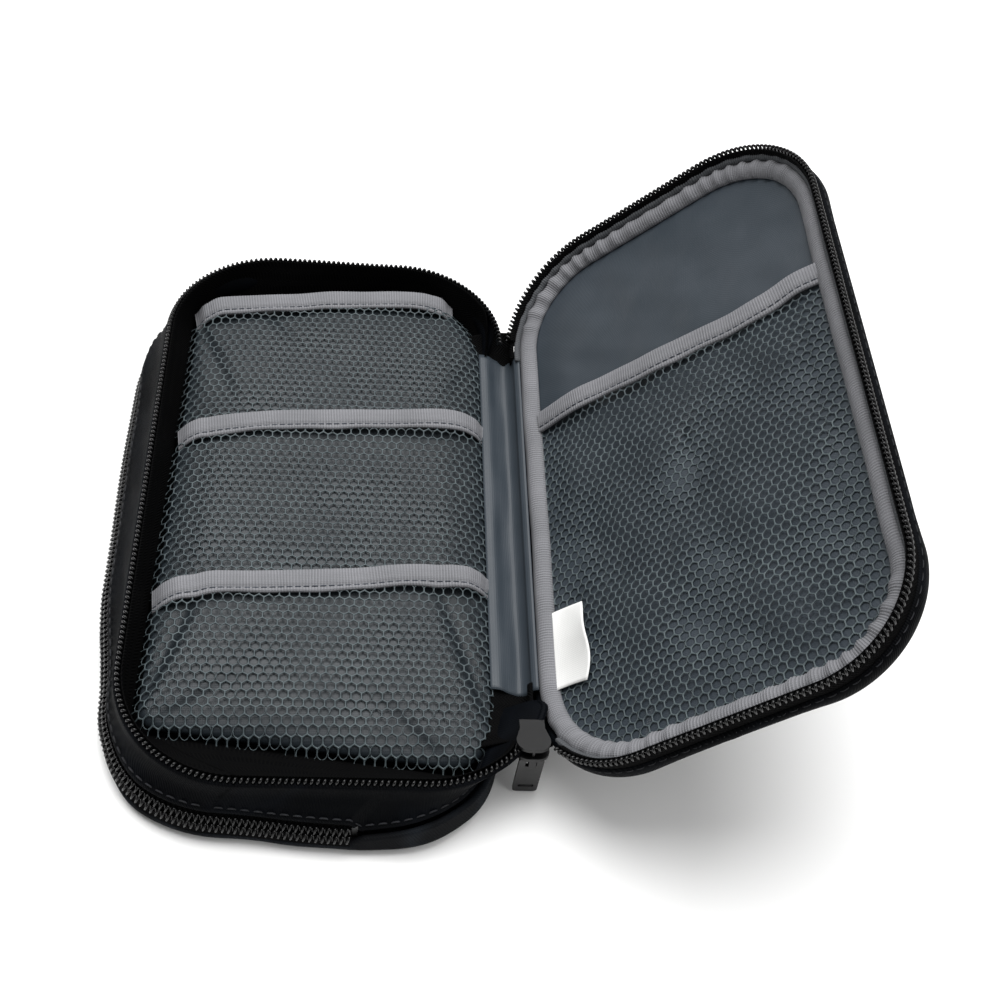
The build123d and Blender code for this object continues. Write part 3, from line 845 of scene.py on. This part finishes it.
# ---- base: padded divider ----------------------------------------------------------------
PAD_SIDE, PAD_ARC = 34, 14      # points along each side and round each corner
PAD_EDGE = 3.6                  # the pad's crown starts this far inside its outline
pad_rings = []
PAD_LOOP = loop(TRAY_CORNERS, TRAY_RADII, PAD_SIDE, PAD_ARC)
for inset, height in ((4.5, 8.3), (2.6, 8.4), (1.3, 9.6), (0.8, 11.2), (1.0, 12.6), (2.0, 13.9),
                      (PAD_EDGE, 14.9)):
    pad_rings.append(solid_run(shrink(PAD_LOOP, inset), height))
inner_loop = shrink(PAD_LOOP, PAD_EDGE)
round_loop = shrink(loop(TRAY_CORNERS, PAD_ROUND, PAD_SIDE, PAD_ARC), PAD_EDGE)
for part, drop in ((0.94, 0.6), (0.87, 0.2), (0.78, 0), (0.66, 0), (0.52, 0), (0.4, 0), (0.28, 0),
                   (0.16, 0), (0.05, 0)):
    spread = min(1.0, (1 - part) / 0.3)
    ring = inner_loop * (1 - spread) + round_loop * spread
    pad_rings.append(solid_run(toward(ring, part), PAD_TOP - drop))
# its lining colour is darkened as painted shade under the nets
pad = dome("divider_pad", pad_rings, PAD_LINING_PAINTED_SHADE)
PAD_HELD_Z = 11.3               # the pad is held up to here while it swells
held = [i for i, v in enumerate(pad.data.vertices) if v.co.z < PAD_HELD_Z * MM]
puff(pad, held, 1.6)
soften(pad)
finish_piece(pad, "base", "lining", "divider_foam", "divider_board", "divider_lining", "divider_back_lining",
             "back_pocket_lining")
bpy.context.view_layer.update()
pad_tree = BVHTree.FromObject(pad, bpy.context.evaluated_depsgraph_get())


def pad_height(x, y):
    """The pad's top below each point, or its foot where the point is past its edge.

    A ray can pass between two faces, so a miss is tried again a little to the side.
    """
    lowest = 12.0 + 4.3 * smooth(-1.5, 9, depth_inside(x, y, TRAY))
    downward = Vector((0, 0, -1))
    above_pad = 50.0
    found = []
    for a, b in zip(np.ravel(x), np.ravel(y)):
        for shift in (0.0, 0.13, -0.21):
            start = Vector(((a + shift) * MM, (b + 0.7 * shift) * MM, above_pad * MM))
            hit = pad_tree.ray_cast(start, downward)[0]
            if hit is not None:
                break
        found.append(-math.inf if hit is None else hit.z / MM)
    return np.maximum(lowest, np.array(found).reshape(np.shape(x)))


MOUTH_MIDDLE_X = (TRAY_LEFT + TRAY_RIGHT) / 2
MOUTH_HALF = (TRAY_RIGHT - TRAY_LEFT) / 2
MOUTH_SHAPES = {                # each mouth's lean, how far its middle bows back, and its shift
    "upper": (0.103, 3.4, 0.1),
    "middle": (0.078, 1.6, 0.3),
    "lower": (0.083, 0.9, -0.3),
}


def mouth(name):
    """The line of a pocket's mouth: y along the case at each x."""
    low, high = cad_box("pocket_binding_" + name)
    middle = (low[1] + high[1]) / 2
    lean, bow, shift = MOUTH_SHAPES[name]

    def line(x):
        t = (np.asarray(x, float) - MOUTH_MIDDLE_X) / MOUTH_HALF
        waver = 0.35 * np.sin(t * 5.0 + middle) + 0.2 * np.sin(t * 11.0 + middle * 2)
        return middle + lean * MOUTH_HALF * t + bow * (0.6 - t * t) + waver * (1 - t * t) + shift
    return line


MOUTHS = {name: mouth(name) for name in POCKETS}


def pocket_lift(x, y, name):
    """How far a pocket's net stands off the pad: most beside its mouth, with soft hollows below."""
    below = MOUTHS[name](x) - HALF_BAND - y
    loose = 0.5 + 0.5 * np.sin((x - MOUTH_MIDDLE_X) / 17.0 + len(name))
    edge = smooth(-2, 10, depth_inside(x, y, TRAY))
    folds = 0.45 * ripple(x + 0.6 * y, y - 0.4 * x, len(name), 38) + 0.5
    return 0.55 + edge * (1.5 * (0.5 + 0.8 * loose) * np.exp(-np.maximum(below, 0) / 5.5) + 0.7 * folds)


def base_net(name, below_name):
    """A pocket's net, from under its own binding down to the next one's upper edge."""
    top = MOUTHS[name]
    under = MOUTHS.get(below_name)

    def inside(x, y):
        keep = (y < top(x) - HALF_BAND + 0.9) & (depth_inside(x, y, TRAY) > -1.3)
        if under:
            keep &= y > under(x) + HALF_BAND - 1.2
        return keep

    def surface(x, y):
        height = pad_height(x, y) + pocket_lift(x, y, name) - 2.2 * smooth(2, -2, depth_inside(x, y, TRAY))
        upward = np.stack([np.zeros_like(x), np.zeros_like(x), np.ones_like(x)], -1)
        return np.stack([x, y, height], -1), upward

    return net("net_" + name, inside, surface, (-60, 52, -92, 100))


for name, below_name in zip(POCKETS, POCKETS[1:] + (None,)):
    made, area = base_net(name, below_name)
    finish_piece(made, "base", "mesh", "pocket_mesh_" + name)


def ribbed_band(name, line, across, up, width, edge_wave):
    """Ribbon folded over an edge: ribs run across it, and a groove marks where it is sewn."""
    thick = 0.9
    points, _, at = spaced(line, RIB_PITCH / 4)
    side = between_points(at, np.linspace(0, at[-1], len(across)), across)
    lift = between_points(at, np.linspace(0, at[-1], len(up)), up)
    rib = 0.1 * np.sin(at / RIB_PITCH * TAU) + 0.06 * np.sin(at / 2.9) * np.sin(at / 7.1)
    waver = edge_wave * (np.sin(at / 6.3) * 0.6 + np.sin(at / 2.7 + 1) * 0.4)
    # the section: each point's share of the width, and its height; the groove is at 0.78
    section = ((0.0, 0.0), (0.02, 0.55), (0.08, 0.95), (0.3, 1.0), (0.55, 1.0), (0.72, 0.92), (0.78, 0.45),
               (0.84, 0.85), (0.93, 0.9), (0.985, 0.5), (1.0, 0.0), (0.9, -0.35), (0.5, -0.4), (0.1, -0.35))
    rows = []
    for share, height in section:
        offset = (share - 0.5) * width + waver * smooth(0.6, 1.0, share)
        raised = height * thick + rib * (1.0 if height > 0.6 else 0.4)
        rows.append(points + side * offset[:, None] + lift * raised[:, None])
    return roll(name, np.array(rows)[::-1], GREY, run=at)


def base_band(name):
    """A pocket's binding over its net, with its row of stitches."""
    along = MOUTHS[name]
    x = np.linspace(TRAY_LEFT - 2.0, TRAY_RIGHT, 180)
    x = x[depth_inside(x, along(x), TRAY) > 0.2]
    y = along(x)
    z = pad_height(x, y) + pocket_lift(x, y - HALF_BAND, name) + 0.35
    z = z - 1.6 * smooth(4, 0, depth_inside(x, y, TRAY))
    line = np.stack([x, y, z], 1)
    droop = np.full_like(x, -0.12)
    down = unit(np.stack([np.gradient(y) / np.gradient(x), -np.ones_like(x), droop], 1))
    up = np.stack([np.zeros_like(x), droop, np.ones_like(x)], 1)
    band = ribbed_band("band_" + name, line, down, up, 2 * HALF_BAND, 0.35)
    finish_piece(band, "base", "binding", "pocket_binding_" + name)
    sewn = line + down * (2 * HALF_BAND) * 0.28 + up * 0.45
    seam = stitches("band_stitch_" + name, sewn, np.array([0, -0.12, 1.0]), THREAD, *BAND_STITCH)
    finish_piece(seam, "base", "binding")


for name in POCKETS:
    base_band(name)

# ---- lid ---------------------------------------------------------------------------------
LID_LOOP = loop(LID_CORNERS, LID_RADII, 60, 26)
SHELL_FACE = 6.0                # the crowned outer face starts this far inside the outline
SHELL_INNER = 3.2


def lid_shell_rings():
    """Rings from the middle of the outer face, over the edge, to the middle of the inner face."""
    rings = []
    for part in (0.06, 0.3, 0.55, 0.78, 0.93):
        rings.append(solid_run(toward(shrink(LID_LOOP, SHELL_FACE), part), -1.9))
    edge = ((SHELL_FACE, -1.85), (3.4, -1.7), (1.6, -1.2), (0.4, -0.3), (-0.3, 1.1), (-0.5, 2.8), (-0.2, 4.1),
            (0.4, 5.0), (2.0, 5.1), (2.4, 3.4), (SHELL_INNER, 2.5))
    for inset, depth in edge:
        rings.append(solid_run(shrink(LID_LOOP, inset), depth))
    for part in (0.9, 0.6, 0.3, 0.05):
        rings.append(solid_run(toward(shrink(LID_LOOP, SHELL_INNER), part), 2.5))
    return [lid_place(ring) for ring in rings]


lid_shell = dome("lid_panel_cloth", lid_shell_rings(), OUTER)
SHELL_FREE_RINGS = 12           # only the outer face and its edge swell
puff(lid_shell, range(SHELL_FREE_RINGS * len(LID_LOOP), len(lid_shell.data.vertices)), 1.2, 3.0)
soften(lid_shell)
finish_piece(lid_shell, "lid", "outer_fabric", "lid_panel", "lid_board")

seam_line = lid_place(solid_run(cut_open(LID, -26, *OPEN_TOPSTITCH), 4.4))
finish_piece(stitches("lid_topstitch", seam_line, np.array([0.7, 0, -0.7]), THREAD_BLACK, lift=0.0), "lid",
             "outer_fabric")

lid_points, lid_ahead, _ = spaced(cut_open(LID, -14, *OPEN_LID), COIL_STEP)
lid_in = left_of(lid_ahead)


def lid_directions(points, directions):
    """Directions from the lid's own frame, turned into the row frame."""
    return lid_place(points + directions) - lid_place(points)


lid_coil_line = solid_run(lid_points + lid_in * COIL_INSET, LID_DEPTH - 1.6)
lid_coil_line[:, 2] += 0.08 * ripple(lid_coil_line[:, 0], lid_coil_line[:, 1], 12, 50)
ones, zeros = np.ones((len(lid_in), 1)), np.zeros((len(lid_in), 1))
lid_coil = coil("main_coil_lid", lid_place(lid_coil_line),
                lid_directions(lid_coil_line, np.concatenate([-lid_in * 0.12, ones], 1)),
                lid_directions(lid_coil_line, np.concatenate([-lid_in, zeros], 1)), COIL_TALL, phase=1.0)
finish_piece(lid_coil, "lid", "coil", "main_zip_coil_lid")

lid_tape_rows = []
for inset, depth in ((1.0, 4.6), (0.75, 5.6), (0.8, 6.8), (1.0, 8.2), (1.55, 9.6), (1.75, 10.2), (2.1, 9.8),
                     (2.5, 8.4), (2.9, 7.0), (3.6, 5.2)):
    lid_tape_rows.append(lid_place(solid_run(lid_points + lid_in * inset, depth)))
finish_piece(cloth("lid_tape", lid_tape_rows, TAPE, 0.4), "lid", "zip_tape", "main_zip_tape_lid")


def ring_band(name, outline, section, material, puckers, closed=True):
    """A ribbed band swept round the lid; puckers gather it at the corners.

    Each point of the section has its inset, its depth and how freely it moves.
    """
    points, ahead, at = spaced(outline, RIB_PITCH / 4, closed)
    side = left_of(ahead)
    u, v = points[:, 0], points[:, 1]
    corner = 1 - smooth(14, 30, LID_HALF_LENGTH - np.abs(v))
    corner *= 1 - 0.5 * smooth(40, 55, np.minimum(u, LID_WIDTH - u))
    fold = puckers * corner * (np.abs(np.sin(at / 2.1 + 0.8 * np.sin(at / 9))) ** 3 - 0.35)
    slow = 0.3 * ripple(u, v, 9, 42)
    rib = 0.12 * np.sin(at / RIB_PITCH * TAU)
    middle = (section[0][0] + section[len(section) // 2][0]) / 2
    rows = []
    for inset, depth, free in section:
        push = (rib + fold) * free
        out = np.sign(inset - middle) * push * 0.4 + slow * free
        rows.append(lid_place(solid_run(points + side * (inset + out)[:, None], depth + push)))
    return roll(name, np.array(rows), material, closed=closed, run=at)


seam_section = ((2.9, 4.2, 0.3), (2.7, 5.4, 0.8), (3.3, 6.5, 1.0), (4.5, 7.0, 1.0), (5.8, 6.9, 1.0),
                (7.1, 6.3, 1.0), (8.2, 5.2, 1.0), (8.7, 4.2, 0.6), (8.3, 3.6, 0.2), (5.8, 3.4, 0.0),
                (3.4, 3.5, 0.0))
finish_piece(ring_band("lid_seam_roll", LID, seam_section, GREY, 0.75), "lid", "binding", "lid_seam_binding")
# the second band between the seam roll and the coil: its darker grey is painted shade
band_section = ((1.9, 6.4, 0.2), (1.85, 7.6, 0.6), (2.3, 8.3, 1.0), (3.0, 8.0, 1.0), (3.5, 7.0, 0.8),
                (3.3, 6.0, 0.2), (2.6, 5.8, 0.0))
inner_band = ring_band("lid_inner_band", cut_open(LID, -14, *OPEN_BAND), band_section, GREY_PAINTED_SHADE, 0.3,
                       closed=False)
finish_piece(inner_band, "lid", "binding")


def lid_face(u, v):
    """The lid lining's height: soft folds that fade out beside the seam."""
    depth = depth_inside(u, v, LID)
    loose = smooth(5, 22, depth)
    return 3.3 + loose * (0.55 * ripple(u + 0.5 * v, v - 0.3 * u, 7, 48) + 0.25 * ripple(u, v, 13, 19) + 0.35)


lining_rings = []
lining_loop = shrink(LID_LOOP, LID_FACE_SEAM)
for part in np.concatenate([[0.002], np.linspace(0.06, 1.0, 30)]):
    ring = toward(lining_loop, part)
    lining_rings.append(lid_place(solid_run(ring, lid_face(ring[:, 0], ring[:, 1]))))
lid_lining = cloth("lid_lining_cloth", lining_rings, LINING, 0.3, closed=True)
finish_piece(lid_lining, "lid", "lining", "lid_lining")

lid_band_low, lid_band_high = cad_box("lid_pocket_binding")
LID_MOUTH = (lid_band_low[1] + lid_band_high[1]) / 2
LID_NET_INSET = 7.0             # the net is sewn this far inside the lid's outline


def lid_mouth(u):
    """The line of the lid pocket's mouth: v along the lid at each u."""
    t = (np.asarray(u, float) - LID_WIDTH / 2) / 50
    return LID_MOUTH - 0.6 + 1.6 * t * t - 0.48 * np.sin(t * 2.6) + 0.3 * np.sin(t * 9)


def lid_stand(u):
    """How far the slack mouth stands off the lining, from 0.1 to 1 across the lid."""
    return 0.55 + 0.45 * np.cos((u - 30) / 16)


def lid_net_surface(u, v):
    """The lid net's points and upward directions: slack below the mouth, with soft folds."""
    below = lid_mouth(u) - HALF_BAND - v
    loose = smooth(6, 26, depth_inside(u, v, LID))
    stand = 2.0 * np.exp(-np.maximum(below, 0) / 9.0) * lid_stand(u)
    w = lid_face(u, v) + 0.55 + loose * (stand + 0.5 * (ripple(u - 0.4 * v, v, 15, 44) + 0.8))
    spot = lid_place(np.stack([u, v, w], -1))
    return spot, lid_place(np.stack([u, v, w + 1], -1)) - spot


def lid_net_inside(u, v):
    """Which of the net's holes lie under the mouth and inside the seam."""
    return (v < lid_mouth(u) - HALF_BAND + 0.9) & (depth_inside(u, v, LID) > LID_NET_INSET - 0.4)


lid_net, net_area = net("net_lid", lid_net_inside, lid_net_surface, (0, 120, -100, 40))
finish_piece(lid_net, "lid", "mesh", "lid_pocket_mesh")

# the lid pocket's binding
u = np.linspace(8.6, LID_WIDTH - 8.4, 180)
v = lid_mouth(u)
w = lid_face(u, v) + 1.5 + 1.9 * lid_stand(u) * smooth(6, 20, np.minimum(u, LID_WIDTH - u))
lid_band_line = np.stack([u, v, w], 1)
droop = np.full_like(u, -0.1)
down = np.stack([np.gradient(v) / np.gradient(u), -np.ones_like(u), droop], 1)
down = lid_directions(lid_band_line, down)
lift = lid_directions(lid_band_line, np.stack([np.zeros_like(u), droop, np.ones_like(u)], 1))
lid_band_line = lid_place(lid_band_line)
finish_piece(ribbed_band("band_lid", lid_band_line, down, lift, 2 * HALF_BAND + 0.4, 0.3), "lid", "binding",
             "lid_pocket_binding")
sewn = lid_band_line + down * 2.15 + lift * 0.5
finish_piece(stitches("band_stitch_lid", sewn, lift[0], THREAD, *BAND_STITCH), "lid", "binding")

# the label caught in the seam: its free edge curls up
label_low, label_high = cad_box("care_label")
LABEL_ROOT = 7.6
LABEL_REACH = 14.0
label_rows = []
for v in np.linspace(label_low[1], label_high[1], 27):
    t = (v - label_low[1]) / (label_high[1] - label_low[1])
    out = np.linspace(0, LABEL_REACH, 15)
    bend = (out / LABEL_REACH) ** 2
    u = LABEL_ROOT + out * (1.0 - 0.16 * (2 * t - 1) ** 2 + 0.05 * math.sin(7 * t))
    w = 5.4 + 1.6 * bend * (0.4 + math.sin(math.pi * t)) - 0.6 * (1 - bend)
    label_rows.append(lid_place(np.stack([u, np.full_like(u, v) - 1.5 * bend, w], 1)))
care_label = cloth("seam_label", label_rows[::-1], LABEL, 0.25)
finish_piece(care_label, "lid", "label", "care_label")

# ---- spine -------------------------------------------------------------------------------
SPINE_FRONT, SPINE_BACK = spine_low[1], spine_high[1]


def curve_through(points, count):
    """A smooth line through a few points, as cubic pieces."""
    points = np.asarray(points, float)
    length = distances(points)
    at = np.linspace(0, length[-1], count)
    slopes = np.gradient(points, length, axis=0)
    k = np.clip(np.searchsorted(length, at, "right") - 1, 0, len(points) - 2)
    h = (length[k + 1] - length[k])[:, None]
    t = (at - length[k])[:, None] / h
    return ((2 * t ** 3 - 3 * t ** 2 + 1) * points[k] + (t ** 3 - 2 * t ** 2 + t) * h * slopes[k]
            + (3 * t ** 2 - 2 * t ** 3) * points[k + 1] + (t ** 3 - t ** 2) * h * slopes[k + 1])


def lid_xz(u, w):
    """Where a point of the lid's cross-section lies, in x and z."""
    x, _, z = lid_place([u, 0, w])
    return float(x), float(z)


def finish_fold(made, node):
    """A piece across the hinge, one edge at the base and the other at the lid: its CAD node is hidden and its
    placement is baked into its points.
    """
    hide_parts(node)
    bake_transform(made)


def spine_lining():
    """The hemmed strip: down from the pad's edge into the fold's crease, and up the lid's wall."""
    columns = 26
    along = np.linspace(0, 1, columns)
    rows = []
    for t in np.linspace(0, 1, 90):
        y = SPINE_FRONT + (SPINE_BACK - SPINE_FRONT) * t
        waver = 0.25 * math.sin(y / 11) + 0.15 * math.sin(y / 4.7)
        path = curve_through([(44.2, 13.0), (46.6, 13.3), (49.6, 11.9 + waver), (53.2, 11.0), (55.2, 12.6),
                              (56.2, 15.4 + 0.3 * waver), lid_xz(0.6, 6.6), lid_xz(3.0, 6.4)], columns)
        slant = -2.2 * (along - 0.3) if t < 0.5 else 3.2 - 4.0 * along
        rows.append(np.stack([path[:, 0], y + slant * abs(2 * t - 1) ** 3, path[:, 1]], 1))
    return cloth("spine_lining_cloth", rows[::-1], LINING, 0.35)


def spine_outer():
    """The outer fabric under the fold, from the gusset to the lid's edge."""
    columns = 20
    base_side = BODY[BODY[:, 0] > 10]
    lid_side = LID[LID[:, 0] < 50]
    rows = []
    for y in np.linspace(-82, 74, 60):
        x_base = float(base_side[np.argmin(np.abs(base_side[:, 1] - y)), 0])
        u_lid = float(lid_side[np.argmin(np.abs(lid_side[:, 1] - y)), 0])
        x_mid, z_mid = lid_xz(u_lid - 0.7, 1.6)
        path = curve_through([(x_base - 1.2, 9.0), (x_base + 0.3, 8.0), (x_base + 3.5, 6.4),
                              (x_mid - 2.2, z_mid - 2.2), (x_mid, z_mid), lid_xz(u_lid + 0.3, 3.6)], columns)
        rows.append(np.stack([path[:, 0], np.full(columns, y), path[:, 1]], 1))
    return cloth("spine_outer_cloth", rows, OUTER, 0.7)


def end_patch(name, y_hem, y_end, rise_end):
    """Black tape that closes the corner between the spine's hem and the end of the zip."""
    columns = 22
    rows = []
    for t in np.linspace(0, 1, 24):
        rise = rise_end * t * t
        x_lid, z_lid = lid_xz(1.5 + 3.2 * t * t, 7.4 + 1.5 * t)
        path = curve_through([(TRAY_RIGHT - 2.0 - 3.0 * t, 12.2 + rise * 0.3), (49.8, 11.4 + rise),
                              (53.2, 10.9 + 1.15 * rise), (55.2, 12.4 + 0.9 * rise),
                              (x_lid - 0.8, z_lid - 0.6), (x_lid, z_lid)], columns)
        rows.append(np.stack([path[:, 0], np.full(columns, y_hem + (y_end - y_hem) * t), path[:, 1]], 1))
    if y_end > y_hem:
        rows = rows[::-1]
    return cloth(name, rows, TAPE, 0.4)


spine_strip = spine_lining()
finish_fold(spine_strip, "spine_lining")
finish_fold(spine_outer(), "spine_outer")
finish_fold(end_patch("front_patch", SPINE_FRONT + 1.0, -84.0, 7.0), "zip_end_front")
finish_fold(end_patch("back_patch", SPINE_BACK - 1.0, 76.0, 5.0), "zip_end_back")

# ---- metal parts keep their CAD shape ----------------------------------------------------
for name in ("main_slider", "main_pull_tab", "back_slider", "back_pull_tab", "back_zip_stops"):
    part = nodes[name]
    part.data.materials.clear()
    part.data.materials.append(METAL)
    bevel = part.modifiers.new("edge", "BEVEL")
    bevel.width = 0.22 * MM
    bevel.segments = 2
    bevel.limit_method = "ANGLE"

# ---- floor, light and camera -------------------------------------------------------------
scene = bpy.context.scene
scene.view_settings.view_transform = "Standard"
bpy.ops.mesh.primitive_plane_add(size=6, location=(0, 0, -0.0002))
floor = bpy.context.object
floor.name = "floor"
paper = Finish("floor_paper", Specular_IOR_Level=0.1)
paper.colour(paper.ramp(paper.noise(3.0), (0.3, (0.86, 0.86, 0.855, 1)), (0.7, (0.88, 0.88, 0.875, 1))))
paper.rough(paper.noise(20.0), 0.85, 0.95)
floor.data.materials.append(paper.material)

world = bpy.data.worlds.new("studio")
world.use_nodes = True
background = world.node_tree.nodes["Background"]
background.inputs["Color"].default_value = (1, 1, 1, 1)
background.inputs["Strength"].default_value = 0.34
scene.world = world


def soft_light(name, place, spread, strength):
    """A distant softbox: parallel light from a place, spread over an angle."""
    data = bpy.data.lights.new(name, "SUN")
    data.angle = math.radians(spread)
    data.energy = strength
    made = bpy.data.objects.new(name, data)
    made.location = place
    made.rotation_euler = (-Vector(place)).to_track_quat("-Z", "Y").to_euler()
    scene.collection.objects.link(made)


soft_light("key", (-0.1, 0.5, 1.15), 55, 4.3)
soft_light("fill", (0.75, -0.2, 0.95), 50, 0.9)

camera_data = bpy.data.cameras.new("camera")
camera_data.lens = 50.626
camera_data.sensor_width = 36.0
camera = bpy.data.objects.new("camera", camera_data)
scene.collection.objects.link(camera)
camera.matrix_world = Matrix((
    (0.99304, -0.04164, -0.11018, 0.00012),
    (-0.03508, 0.78844, -0.61412, -0.26980),
    (0.11244, 0.61371, 0.78149, 0.36269),
    (0, 0, 0, 1)))
camera_data.clip_start = 0.01
camera_data.clip_end = 20
scene.camera = camera

bpy.context.view_layer.update()
